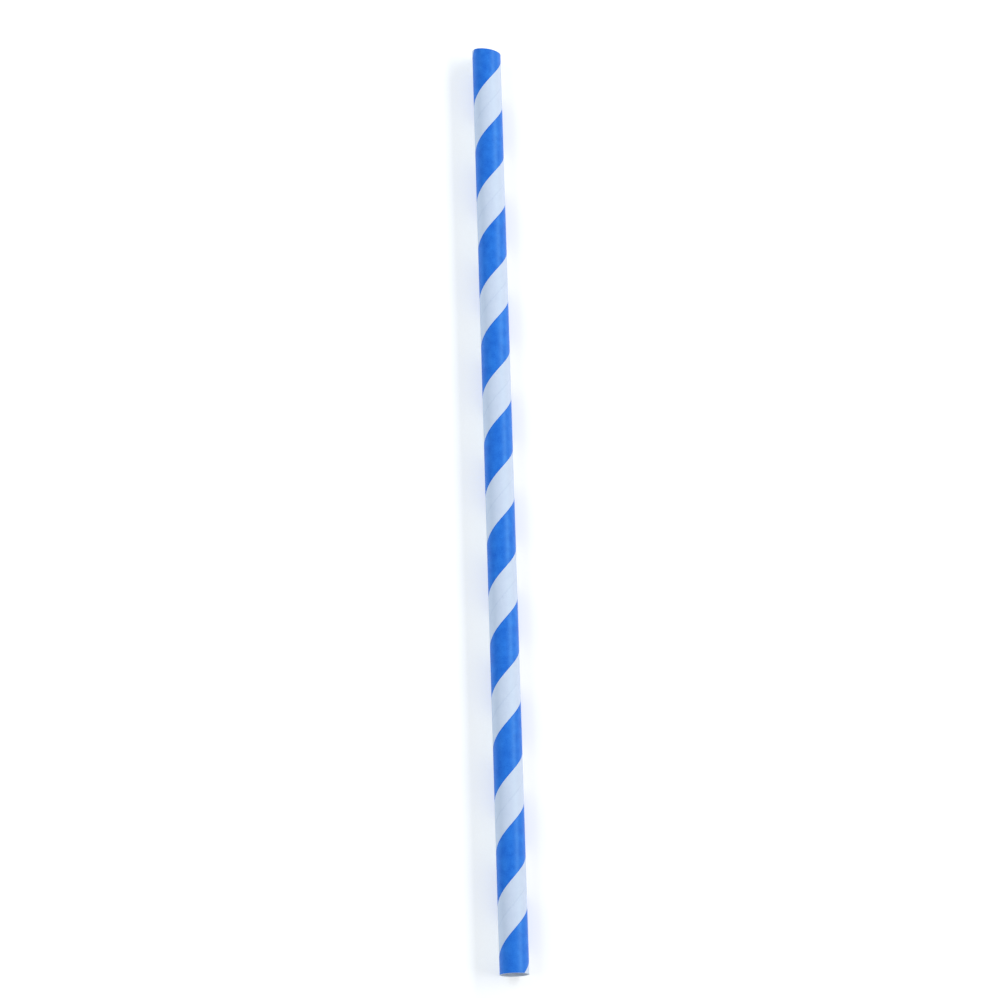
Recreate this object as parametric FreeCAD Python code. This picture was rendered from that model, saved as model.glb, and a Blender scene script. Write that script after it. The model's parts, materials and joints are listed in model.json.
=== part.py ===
import FreeCAD, Part
import os

# A paper drinking straw: strips of paper, wound and glued into one stiff tube, and cut with
# a knife at both ends. Lengths are in millimetres. The straw lies on the plane Z = 0, along Y,
# with its top end towards +Y and the origin under its middle.

# Driving sizes
outer_diameter = 6.0
wall = 0.4
length = 197.0      # along the straw's longer side
top_slope = 1.0     # the top is cut out of square: how much lower it is on its +X side

# What follows from them
outer_radius = outer_diameter / 2
bore_radius = outer_radius - wall


def tube():
    """The paper wall, upright on Z = 0."""
    outside = Part.makeCylinder(outer_radius, length)
    bore = Part.makeCylinder(bore_radius, length)
    return outside.cut(bore)


def height_of_cut(x):
    """Where the sloping cut at the top passes, x to the right of the axis."""
    return length - top_slope * (x + outer_radius) / outer_diameter


def above_the_cut():
    """What the knife takes off the upright tube: all that lies over the sloping plane."""
    left = -outer_diameter
    right = outer_diameter
    top = length + outer_diameter
    corners = [
        FreeCAD.Vector(left, left, height_of_cut(left)),
        FreeCAD.Vector(right, left, height_of_cut(right)),
        FreeCAD.Vector(right, left, top),
        FreeCAD.Vector(left, left, top),
    ]
    outline = Part.Face(Part.makePolygon(corners + corners[:1]))
    return outline.extrude(FreeCAD.Vector(0, right - left, 0))


def laid_down(shape):
    """Lays the upright straw on its back: its front faces up and its top points to +Y."""
    shape.rotate(FreeCAD.Vector(0, 0, 0), FreeCAD.Vector(1, 0, 0), -90)
    shape.translate(FreeCAD.Vector(0, -length / 2, outer_radius))
    return shape


def straw_tube():
    """The whole straw."""
    return laid_down(tube().cut(above_the_cut()))


os.makedirs("parts", exist_ok=True)
straw_tube().exportStep("parts/straw_tube.step")
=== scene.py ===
import json
import math

import bmesh
import bpy
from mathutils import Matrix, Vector


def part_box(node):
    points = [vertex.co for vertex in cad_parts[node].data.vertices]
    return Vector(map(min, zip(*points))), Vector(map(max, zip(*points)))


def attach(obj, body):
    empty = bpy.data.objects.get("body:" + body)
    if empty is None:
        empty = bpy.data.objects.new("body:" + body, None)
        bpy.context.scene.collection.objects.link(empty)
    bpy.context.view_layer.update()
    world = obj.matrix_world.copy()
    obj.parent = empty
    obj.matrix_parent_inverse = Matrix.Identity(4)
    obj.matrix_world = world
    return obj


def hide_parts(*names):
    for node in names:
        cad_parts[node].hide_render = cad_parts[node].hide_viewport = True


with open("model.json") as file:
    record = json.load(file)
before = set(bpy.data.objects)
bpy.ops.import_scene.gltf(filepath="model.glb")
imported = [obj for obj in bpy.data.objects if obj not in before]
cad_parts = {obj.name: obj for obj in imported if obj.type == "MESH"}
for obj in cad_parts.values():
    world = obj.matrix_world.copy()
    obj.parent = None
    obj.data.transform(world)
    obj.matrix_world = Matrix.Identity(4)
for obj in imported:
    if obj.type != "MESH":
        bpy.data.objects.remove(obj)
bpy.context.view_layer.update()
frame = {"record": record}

# A paper drinking straw lying on a pale floor. All lengths are in metres. The straw lies along Y
# with its top end towards +Y, and its axis is one outer radius above the floor.

MILLIMETRE = 0.001

# The size of the straw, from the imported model
straw_low, straw_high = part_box("straw_tube")
BOTTOM = straw_low.y
TOP = straw_high.y
OUTER_RADIUS = (straw_high.x - straw_low.x) / 2
AXIS_HEIGHT = OUTER_RADIUS
bore = next(mount for mount in frame["record"]["mounts"] if mount["name"] == "bore")
BORE_RADIUS = bore["dims"]["r_mm"] * MILLIMETRE
MIDDLE_RADIUS = (OUTER_RADIUS + BORE_RADIUS) / 2
WALL = OUTER_RADIUS - BORE_RADIUS

# The two cuts: a point of each cutting plane, and the way out of the straw
TOP_SLOPE = 1.0 * MILLIMETRE        # how much lower the top is cut on its +X side
TOP_OUTWARDS = Vector((TOP_SLOPE / (2 * OUTER_RADIUS), 1, 0)).normalized()
TOP_CUT = (Vector((-OUTER_RADIUS, TOP, 0)), TOP_OUTWARDS)
BOTTOM_CUT = (Vector((0, BOTTOM, 0)), Vector((0, -1, 0)))

# The rims
RIM_EASE = 0.04 * MILLIMETRE        # the knife leaves the rims' edges this much rounded
RIM_ROW = 3 * RIM_EASE              # how long the row of narrow faces just inside a cut is
RIM_REACH = 1.5 * RIM_EASE          # the rim's own faces are nearer to the cut than this
PRINTED_FROM = OUTER_RADIUS - 2 * RIM_EASE  # the print begins this far from the axis

# How the paper is wound: places along it are in leads below the top rim, on the straw's upper line
LEAD = 21.3 * MILLIMETRE            # one turn of a strip moves it this far along the straw
RIM_ABOVE = TOP - TOP_SLOPE / 2     # where the top rim crosses the upper line
OUTER_SEAM = 0.582                  # where the outer strip's edges meet
INNER_SEAM = 0.27                   # the same for the inner strip
OUTER_DEPTH = 0.030 * MILLIMETRE    # how deep the outer strip's seam is
INNER_DEPTH = 0.015 * MILLIMETRE    # and the inner strip's
SEAM_STEEP = 0.12 * MILLIMETRE      # width of the seam's side towards the top, along the straw
SEAM_GENTLE = 0.42 * MILLIMETRE     # width of its other side
FACETS = 128                        # flats round the tube

# How it is printed
BLUE_CENTRE = 0.080                 # middle of the blue band
BLUE_SHARE = 0.518                  # how much of a lead is blue

# How near is near, when points are picked or merged
EXACT = 0.0001 * MILLIMETRE         # for the cuts
NEAR = 0.001 * MILLIMETRE           # for the points on a cut
TURN_MERGE = 0.002 * MILLIMETRE     # for two turns' points where they meet
LAST_MERGE = 0.004 * MILLIMETRE     # for the finished tube
RIM_MERGE = 0.02 * MILLIMETRE       # for the points along a cut

# Modelling helpers


def nothing_selected():
    """Leaves edit mode behind and selects nothing."""
    if bpy.context.mode != "OBJECT":
        bpy.ops.object.mode_set(mode="OBJECT")
    bpy.ops.object.select_all(action="DESELECT")


def only(piece):
    """Selects one piece and makes it the active one."""
    nothing_selected()
    piece.select_set(True)
    bpy.context.view_layer.objects.active = piece


def edited(piece):
    """Opens one piece in edit mode with all of it selected."""
    only(piece)
    bpy.ops.object.mode_set(mode="EDIT")
    bpy.ops.mesh.select_all(action="SELECT")


def pick(piece, kind, wanted):
    """In edit mode, selects only the vertices or the edges for which wanted() holds."""
    bpy.ops.mesh.select_mode(type=kind)
    bpy.ops.mesh.select_all(action="DESELECT")
    mesh = bmesh.from_edit_mesh(piece.data)
    mesh.normal_update()
    for part in {"VERT": mesh.verts, "EDGE": mesh.edges}[kind]:
        if wanted(part):
            part.select_set(True)
    mesh.select_flush_mode()
    bmesh.update_edit_mesh(piece.data)


def from_axis(place):
    """How far a point is from the straw's axis."""
    return math.hypot(place.x, place.z - AXIS_HEIGHT)


def angle_round(place):
    """A point's angle round the axis, from the upper line towards +X."""
    return math.atan2(place.x, place.z - AXIS_HEIGHT)


def outside_of_cut(place, cut):
    """How far a point is past a cutting plane. What the cut leaves has negative numbers."""
    on_plane, outwards = cut
    return (place - on_plane).dot(outwards)


# The wound paper


def seam_line(depth):
    """The line that is wound, as (along the straw, outwards) for its points. It runs from one seam
    to the next, and both its ends dip into the seam by the depth: steeply where it starts, gently
    where it ends."""
    # Shares of the side's width and of the depth
    steep = [(0, -1), (0.3, -0.85), (0.7, -0.12), (1, 0)]
    gentle = [(-1, 0), (-0.78, -0.08), (-0.28, -0.75), (0, -1)]
    start = [(SEAM_STEEP * along, depth * out) for along, out in steep]
    end = [(LEAD + SEAM_GENTLE * along, depth * out) for along, out in gentle]
    return start + end


def wound_skin(name, radius, seam, line):
    """One skin of the tube. The line is drawn a point at a time along the straw and wound round the
    axis with the Screw modifier, so its ends meet in the strip's spiral seam."""
    leads_below = math.ceil((RIM_ABOVE - BOTTOM) / LEAD - seam + 1)
    first_seam = RIM_ABOVE - (seam + leads_below) * LEAD
    nothing_selected()
    bpy.ops.mesh.primitive_plane_add(size=radius, location=(0, first_seam, AXIS_HEIGHT))
    skin = bpy.context.object
    skin.name = name
    edited(skin)
    bpy.ops.mesh.merge(type="CENTER")
    along, out = line[0]
    bpy.ops.transform.translate(value=(0, along, radius + out))
    for (along, out), (next_along, next_out) in zip(line, line[1:]):
        step = (0, next_along - along, next_out - out)
        bpy.ops.mesh.extrude_region_move(TRANSFORM_OT_translate={"value": step})
    only(skin)
    winding = skin.modifiers.new("winding", "SCREW")
    winding.axis = "Y"
    winding.angle = math.tau
    winding.screw_offset = LEAD
    winding.iterations = math.ceil((TOP - first_seam) / LEAD)
    winding.steps = winding.render_steps = FACETS
    winding.use_smooth_shade = True
    bpy.ops.object.modifier_apply(modifier=winding.name)
    bpy.ops.object.transform_apply(location=True, rotation=True, scale=True)
    edited(skin)
    bpy.ops.mesh.remove_doubles(threshold=TURN_MERGE)
    return skin


# The cuts and the rims


def cut_to_length(skin, cut):
    """Cuts a skin off at a plane, with a row of narrow faces just inside the cut."""
    on_plane, outwards = cut
    edited(skin)
    bpy.ops.mesh.bisect(plane_co=on_plane - outwards * RIM_ROW, plane_no=outwards, threshold=EXACT)
    bpy.ops.mesh.select_all(action="SELECT")
    bpy.ops.mesh.bisect(plane_co=on_plane, plane_no=outwards, clear_outer=True, threshold=EXACT)
    pick(skin, "VERT", lambda v: abs(outside_of_cut(v.co, cut)) < NEAR)
    bpy.ops.mesh.remove_doubles(threshold=RIM_MERGE)


def close_wall(straw, cut):
    """Closes the wall between the two skins at one end. The bore's rim is drawn in while they are
    bridged, because rims that lie in one plane would be joined crosswise."""
    end = math.copysign(1, cut[1].y)

    def in_bore(vertex):
        return from_axis(vertex.co) < MIDDLE_RADIUS

    def at_this_end(vertex):
        return vertex.co.y * end > 0

    def on_bore_rim(vertex):
        return in_bore(vertex) and at_this_end(vertex) and any(e.is_boundary for e in vertex.link_edges)

    def bridged_in_bore(vertex):
        across = any(not in_bore(e.other_vert(vertex)) for e in vertex.link_edges)
        return in_bore(vertex) and at_this_end(vertex) and across

    draw_in = Vector((0, -end * WALL, 0))
    edited(straw)
    pick(straw, "VERT", on_bore_rim)
    bpy.ops.transform.translate(value=draw_in)
    pick(straw, "EDGE", lambda e: e.is_boundary and at_this_end(e.verts[0]))
    bpy.ops.mesh.bridge_edge_loops()
    pick(straw, "VERT", bridged_in_bore)
    bpy.ops.transform.translate(value=-draw_in)


def ease_rim(straw, cut):
    """Rounds the two edges of the rim at one end a little."""

    def of_rim(face):
        return all(abs(outside_of_cut(v.co, cut)) < NEAR for v in face.verts)

    edited(straw)
    pick(straw, "EDGE", lambda e: sorted(map(of_rim, e.link_faces)) == [False, True])
    bpy.ops.mesh.bevel(offset=RIM_EASE, segments=3, affect="EDGES", clamp_overlap=False)


def wound_tube():
    """The whole tube: both skins cut to length and joined, with the wall closed at its ends."""
    paper = wound_skin("straw_paper", OUTER_RADIUS, OUTER_SEAM, seam_line(OUTER_DEPTH))
    lining = wound_skin("straw_lining", BORE_RADIUS, INNER_SEAM, seam_line(-INNER_DEPTH))
    for skin in (paper, lining):
        cut_to_length(skin, BOTTOM_CUT)
        cut_to_length(skin, TOP_CUT)
    only(paper)
    lining.select_set(True)
    bpy.ops.object.join()
    close_wall(paper, BOTTOM_CUT)
    close_wall(paper, TOP_CUT)
    edited(paper)
    bpy.ops.mesh.normals_make_consistent(inside=False)
    ease_rim(paper, BOTTOM_CUT)
    ease_rim(paper, TOP_CUT)
    edited(paper)
    bpy.ops.mesh.remove_doubles(threshold=LAST_MERGE)
    only(paper)
    return paper


# The map for baked pictures: the strips unwound and straight, so that the printed bands follow its rows
TURNS_A_ROW = 3
GAP = 0.6 * MILLIMETRE              # between two rows


def wrapped(angle):
    """The same angle, between minus and plus half a turn."""
    return (angle + math.pi) % math.tau - math.pi


class Strip:
    """The strip of one skin, unwound and cut into rows of a few turns. The rows lie above each
    other on the map."""

    def __init__(self, radius, seam, bottom):
        self.radius = radius
        self.seam = seam
        self.bottom = bottom
        self.around = math.tau * radius
        self.turn_length = math.hypot(self.around, LEAD)
        self.width = LEAD * self.around / self.turn_length
        self.slant = LEAD * LEAD / self.turn_length     # how far a row's slanting end reaches back
        self.first_turn = math.floor(seam - (RIM_ABOVE - BOTTOM) / LEAD)
        last_turn = seam + 1 + (TOP - RIM_ABOVE) / LEAD
        rows = math.ceil((last_turn - self.first_turn) / TURNS_A_ROW)
        self.top = bottom + rows * (self.width + GAP)
        self.right = GAP + self.slant + TURNS_A_ROW * self.turn_length

    def lay(self, face, layer):
        """Lays one face of this skin on the map."""
        middle = face.calc_center_median()
        angle = angle_round(middle)
        seams_below_rim = math.floor((RIM_ABOVE - middle.y) / LEAD + angle / math.tau - self.seam)
        row = int((angle / math.tau - seams_below_rim - self.first_turn) // TURNS_A_ROW)
        row_bottom = self.bottom + row * (self.width + GAP)
        row_start = self.first_turn + row * TURNS_A_ROW
        start_y = RIM_ABOVE - (self.seam - row_start) * LEAD
        for loop in face.loops:
            place = loop.vert.co
            turned = angle + wrapped(angle_round(place) - angle)
            around = self.radius * (turned - math.tau * (seams_below_rim + row_start))
            up = place.y - start_y
            along = (around * self.around + up * LEAD) / self.turn_length
            across = (up * self.around - around * LEAD) / self.turn_length
            loop[layer].uv = (GAP + self.slant + along, row_bottom + self.width + across)


def lay_rim(face, layer, cut, centre):
    """Lays one face of a rim on the map, with the rounded edges spread flat."""
    for loop in face.loops:
        place = loop.vert.co
        radius = from_axis(place)
        depth = -outside_of_cut(place, cut)
        spread = radius + math.copysign(depth, radius - MIDDLE_RADIUS)
        angle = angle_round(place)
        loop[layer].uv = centre + spread * Vector((math.sin(angle), math.cos(angle)))


def unwind(straw):
    """Adds the map to the straw. The two rims lie to the right of the outer strip."""
    paper = Strip(OUTER_RADIUS, OUTER_SEAM, GAP)
    lining = Strip(BORE_RADIUS, INNER_SEAM, paper.top)
    rim_room = OUTER_RADIUS + RIM_EASE + GAP
    rims = []
    for number, cut in enumerate((BOTTOM_CUT, TOP_CUT)):
        rims.append((cut, Vector((paper.right + rim_room, (1 + 2 * number) * rim_room))))
    side = max(lining.top, paper.right + 2 * rim_room)
    mesh = bmesh.new()
    mesh.from_mesh(straw.data)
    layer = mesh.loops.layers.uv.new("OFBake")
    for face in mesh.faces:
        for cut, centre in rims:
            if all(outside_of_cut(v.co, cut) > -RIM_REACH for v in face.verts):
                lay_rim(face, layer, cut, centre)
                break
        else:
            outer = from_axis(face.calc_center_median()) > MIDDLE_RADIUS
            strip = paper if outer else lining
            strip.lay(face, layer)
        for loop in face.loops:
            loop[layer].uv /= side
    mesh.to_mesh(straw.data)
    mesh.free()


# Materials


class Amount:
    """A number that changes over a surface. Python's own sums on it add Math nodes."""

    def __init__(self, nodes, socket):
        self.nodes = nodes
        self.socket = socket

    def __add__(self, other):
        return self.nodes.number("ADD", self, other)

    def __sub__(self, other):
        return self.nodes.number("SUBTRACT", self, other)

    def __mul__(self, other):
        return self.nodes.number("MULTIPLY", self, other)

    def __truediv__(self, other):
        return self.nodes.number("DIVIDE", self, other)

    def __rsub__(self, other):
        return self.nodes.number("SUBTRACT", other, self)

    __radd__ = __add__
    __rmul__ = __mul__


class Nodes:
    """The nodes of a material or of the world, and the ways to add to them."""

    def __init__(self, owner):
        owner.use_nodes = True
        self.tree = owner.node_tree
        self.tree.nodes.clear()

    def node(self, kind, sockets=None, **settings):
        """Adds a node: first its settings, then the values or links of its sockets, which are given
        by name or by number."""
        made = self.tree.nodes.new(kind)
        for name, value in settings.items():
            setattr(made, name, value)
        for name, value in (sockets or {}).items():
            if isinstance(value, Amount):
                value = value.socket
            if isinstance(value, bpy.types.NodeSocket):
                self.tree.links.new(value, made.inputs[name])
            else:
                made.inputs[name].default_value = value
        return made

    def number(self, operation, *values, clamp=False):
        """One Math node."""
        sockets = dict(enumerate(values))
        made = self.node("ShaderNodeMath", sockets, operation=operation, use_clamp=clamp)
        return Amount(self, made.outputs[0])

    def zero_to_one(self, amount):
        """The amount, kept between 0 and 1."""
        return self.number("ADD", amount, 0, clamp=True)

    def place(self):
        """Where a point is, the same for every pose."""
        return self.node("ShaderNodeTexCoord").outputs["Object"]

    def noise(self, grain, detail=2.0, roughness=0.5):
        """Noise from 0 to 1 whose grains are about this many metres across."""
        sockets = {"Vector": self.place(), "Scale": 1 / grain, "Detail": detail, "Roughness": roughness}
        return Amount(self, self.node("ShaderNodeTexNoise", sockets).outputs["Fac"])

    def uneven(self, grains, strength):
        """A share to blend two colours by: a half on average, as the two noises add up to about 1."""
        return self.zero_to_one(grains * strength + (0.5 - strength))

    def blend(self, share, first, second):
        """A colour between two others. On a Mix node, sockets 6 and 7 are its two colours."""
        return self.node("ShaderNodeMix", {0: share, 6: first, 7: second}, data_type="RGBA").outputs[2]

    def bump(self, height, depth):
        """Turns a height from 0 to 1 into a normal, for a relief this many metres deep."""
        return self.node("ShaderNodeBump", {"Height": height, "Distance": depth}).outputs["Normal"]


def colour(red, green, blue):
    """A colour for a socket, from the eight-bit numbers of a screen."""
    def light(value):
        value /= 255
        return value / 12.92 if value <= 0.04045 else ((value + 0.055) / 1.055) ** 2.4
    return (light(red), light(green), light(blue), 1.0)


# Colours of the paper and the ink
WHITE_PAPER = colour(220, 229, 247)
WHITE_PAPER_DULL = colour(206, 217, 239)
# The seam's colour is painted shade for its groove, together with the darker cut edge of the strip
SEAM_SHADE = colour(150, 168, 204)
BLUE_INK = colour(13, 97, 213)
BLUE_INK_PALE = colour(46, 131, 236)
BLUE_INK_RIM = colour(12, 86, 198)
BARE_PAPER = colour(222, 230, 243)
BARE_PAPER_DULL = colour(205, 214, 228)

# Sizes of the grain, of the ink's edges and of the shade in the seam
CLOUD = 1.6 * MILLIMETRE            # grains of the printed paper's broad unevenness
FIBRE = 0.16 * MILLIMETRE           # grains of its fibres
BARE_CLOUD = 1.2 * MILLIMETRE       # the same two on bare paper
BARE_FIBRE = 0.12 * MILLIMETRE
BLEED = 0.06 * MILLIMETRE           # how far ink creeps along the fibres at a band's edge
BLEED_GRAIN = 0.12 * MILLIMETRE     # grains of that creeping
INK_EDGE = 0.03 * MILLIMETRE        # the width over which the ink ends
INK_RIM = 0.22 * MILLIMETRE         # the darker line of ink along the edge
SEAM_LINE = 0.30 * MILLIMETRE       # the shade in the seam, along the straw

# How strongly they show in the colours
WHITE_UNEVEN = 0.8
BLUE_UNEVEN = 1.45
BARE_UNEVEN = 1.0
SEAM_STRENGTH = 0.13
INK_RIM_STRENGTH = 0.6

# Gloss and relief
PAPER_ROUGHNESS = 0.54
INK_SMOOTHER = 0.12                 # how much the ink takes off the paper's roughness
FIBRE_ROUGHER = 0.08                # how much the fibres add to it
PRINT_SPECULAR = 0.6
PRINT_SPECULAR_TINT = (0.48, 1.0, 1.0, 1.0)
PRINT_RELIEF = 0.006 * MILLIMETRE
BARE_ROUGHNESS = 0.72
BARE_FIBRE_ROUGHER = 0.12
BARE_SPECULAR = 0.2
BARE_RELIEF = 0.018 * MILLIMETRE


def print_on_paper():
    """The outer strip: smooth white paper with a broad blue band of ink that winds with it."""
    material = bpy.data.materials.new("printed_paper")
    paper = Nodes(material)
    split = paper.node("ShaderNodeSeparateXYZ", {0: paper.place()})
    x, y, z = [Amount(paper, socket) for socket in split.outputs]
    turned = paper.number("ARCTAN2", x, z - AXIS_HEIGHT) / math.tau
    wound = (RIM_ABOVE - y) / LEAD + turned

    def away_from(line):
        """How far a point is from a winding line, in leads, on either side."""
        return paper.number("ABSOLUTE", paper.number("FRACT", wound - line + 0.5) - 0.5)

    fibre = paper.noise(FIBRE, detail=3, roughness=0.6)
    grains = paper.noise(CLOUD, detail=3) + fibre
    bleed = (paper.noise(BLEED_GRAIN) - 0.5) * (BLEED / LEAD)
    past_edge = away_from(BLUE_CENTRE) + bleed - BLUE_SHARE / 2
    ink = paper.zero_to_one(0.5 - past_edge / (INK_EDGE / LEAD))
    squeezed = paper.zero_to_one(past_edge / (INK_RIM / LEAD) + 1)
    in_seam = paper.zero_to_one(1 - away_from(OUTER_SEAM) / (SEAM_LINE / LEAD))
    white = paper.blend(paper.uneven(grains, WHITE_UNEVEN), WHITE_PAPER_DULL, WHITE_PAPER)
    # Painted shade in the seam's groove, with the strip's darker cut edge, darkens the white along the
    # seam
    white = paper.blend(in_seam * SEAM_STRENGTH, white, SEAM_SHADE)
    blue = paper.blend(paper.uneven(grains, BLUE_UNEVEN), BLUE_INK, BLUE_INK_PALE)
    blue = paper.blend(squeezed * INK_RIM_STRENGTH, blue, BLUE_INK_RIM)
    shader = paper.node("ShaderNodeBsdfPrincipled", {
        "Base Color": paper.blend(ink, white, blue),
        "Roughness": PAPER_ROUGHNESS - INK_SMOOTHER * ink + FIBRE_ROUGHER * fibre,
        "Specular IOR Level": PRINT_SPECULAR,
        "Specular Tint": PRINT_SPECULAR_TINT,
        "Normal": paper.bump(fibre, PRINT_RELIEF),
    })
    paper.node("ShaderNodeOutputMaterial", {"Surface": shader.outputs[0]})
    return material


def bare_paper():
    """The inner strip and the cut rims: paper without ink or gloss."""
    material = bpy.data.materials.new("bare_paper")
    paper = Nodes(material)
    fibre = paper.noise(BARE_FIBRE, detail=3, roughness=0.65)
    grains = paper.noise(BARE_CLOUD, detail=3) + fibre
    shader = paper.node("ShaderNodeBsdfPrincipled", {
        "Base Color": paper.blend(paper.uneven(grains, BARE_UNEVEN), BARE_PAPER_DULL, BARE_PAPER),
        "Roughness": BARE_ROUGHNESS + BARE_FIBRE_ROUGHER * fibre,
        "Specular IOR Level": BARE_SPECULAR,
        "Normal": paper.bump(fibre, BARE_RELIEF),
    })
    paper.node("ShaderNodeOutputMaterial", {"Surface": shader.outputs[0]})
    return material


def finish_paper(straw):
    """Prints the outside and leaves the bore and the rims bare."""
    straw.data.materials.clear()
    straw.data.materials.append(print_on_paper())
    straw.data.materials.append(bare_paper())
    for face in straw.data.polygons:
        faces_sideways = abs(face.normal.y) < 0.5
        printed = from_axis(face.center) > PRINTED_FROM and faces_sideways
        face.material_index = 0 if printed else 1


SMOOTH_UP_TO = math.radians(40)     # the shading is smooth across edges that turn less than this

straw = wound_tube()
unwind(straw)
finish_paper(straw)
only(straw)
bpy.ops.object.shade_smooth_by_angle(angle=SMOOTH_UP_TO)
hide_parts("straw_tube")
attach(straw, "root")

# Floor, light and camera

FLOOR_SIZE = 6
FLOOR_GREY = (0.8, 0.8, 0.8, 1.0)
FLOOR_GLOW = 0.38                   # lifts the floor to white for the camera, and in reflections
SKY_COLOUR = (0.92, 0.96, 1.0, 1.0)
SKY_STRENGTH = 0.40
WHITE = (1.0, 1.0, 1.0)
COOL_WHITE = (0.80, 0.92, 1.0)
LAMP_DISTANCE = 0.9
LAMP_LENGTH = 1.3
LAMP_FORWARD = 0.25                 # how far the lamps' middles are towards the straw's top
CAMERA_DISTANCE = 0.85
CAMERA_ELEVATION = math.radians(76)
CAMERA_HEADING = math.radians(1.7)  # the straw leans this much to the left in the picture
HALF_VIEW = 0.1035                  # half of what the picture takes in at the straw
SENSOR = 36                         # in millimetres, as a camera's lens is given


def pale_floor():
    """The floor: pale, matt, plain white to the camera, and it keeps the straw's shadow."""
    nothing_selected()
    bpy.ops.mesh.primitive_plane_add(size=FLOOR_SIZE, location=(0, 0, 0))
    floor = bpy.context.object
    floor.name = "floor"
    material = bpy.data.materials.new("floor_white")
    nodes = Nodes(material)
    rays = nodes.node("ShaderNodeLightPath").outputs
    seen = Amount(nodes, rays["Is Camera Ray"]) + rays["Is Glossy Ray"] + rays["Is Transmission Ray"]
    glow = nodes.node("ShaderNodeEmission", {"Strength": nodes.zero_to_one(seen) * FLOOR_GLOW})
    matt = nodes.node("ShaderNodeBsdfDiffuse", {"Color": FLOOR_GREY})
    both = nodes.node("ShaderNodeAddShader", {0: matt.outputs[0], 1: glow.outputs[0]})
    nodes.node("ShaderNodeOutputMaterial", {"Surface": both.outputs[0]})
    floor.data.materials.append(material)


def soft_sky():
    """An even pale sky, plain white where the camera sees it."""
    world = bpy.data.worlds.new("studio")
    bpy.context.scene.world = world
    nodes = Nodes(world)
    rays = nodes.node("ShaderNodeLightPath").outputs
    seen = nodes.zero_to_one(Amount(nodes, rays["Is Camera Ray"]) + rays["Is Transmission Ray"])
    fill = nodes.node("ShaderNodeBackground", {"Color": SKY_COLOUR, "Strength": SKY_STRENGTH})
    plain = nodes.node("ShaderNodeBackground", {"Color": (*WHITE, 1.0), "Strength": 1.0})
    chosen = nodes.node("ShaderNodeMixShader", {0: seen, 1: fill.outputs[0], 2: plain.outputs[0]})
    nodes.node("ShaderNodeOutputWorld", {"Surface": chosen.outputs[0]})


def softbox(name, tilt, width, watts, tint, mirrored=True):
    """A long soft lamp beside the straw, parallel to it, tilted this many degrees from straight
    above. One that isn't mirrored adds light without a highlight of its own."""
    angle = math.radians(tilt)
    lamp = bpy.data.lights.new(name, "AREA")
    lamp.shape = "RECTANGLE"
    lamp.size = width
    lamp.size_y = LAMP_LENGTH
    lamp.energy = watts
    lamp.color = tint
    held = bpy.data.objects.new(name, lamp)
    held.location = (LAMP_DISTANCE * math.sin(angle), LAMP_FORWARD, LAMP_DISTANCE * math.cos(angle))
    held.rotation_euler = (0, angle, 0)
    held.visible_camera = False
    held.visible_glossy = mirrored
    bpy.context.scene.collection.objects.link(held)


def camera():
    """Looks down on the straw from beyond its lower end, as the photograph looks at its front."""
    lens = bpy.data.cameras.new("camera")
    lens.sensor_width = SENSOR
    lens.lens = SENSOR * CAMERA_DISTANCE / (2 * HALF_VIEW)
    held = bpy.data.objects.new("camera", lens)
    bpy.context.scene.collection.objects.link(held)
    back = Vector((
        -math.sin(CAMERA_HEADING) * math.cos(CAMERA_ELEVATION),
        -math.cos(CAMERA_HEADING) * math.cos(CAMERA_ELEVATION),
        math.sin(CAMERA_ELEVATION),
    ))
    held.location = Vector((0, 0, AXIS_HEIGHT)) + back * CAMERA_DISTANCE
    held.rotation_euler = (-back).to_track_quat("-Z", "Y").to_euler()
    bpy.context.scene.camera = held


pale_floor()
soft_sky()
softbox("right softbox", tilt=53, width=0.20, watts=6.1, tint=WHITE)
softbox("left softbox", tilt=-45, width=0.50, watts=4.2, tint=COOL_WHITE, mirrored=False)
camera()
bpy.context.scene.view_settings.view_transform = "Standard"
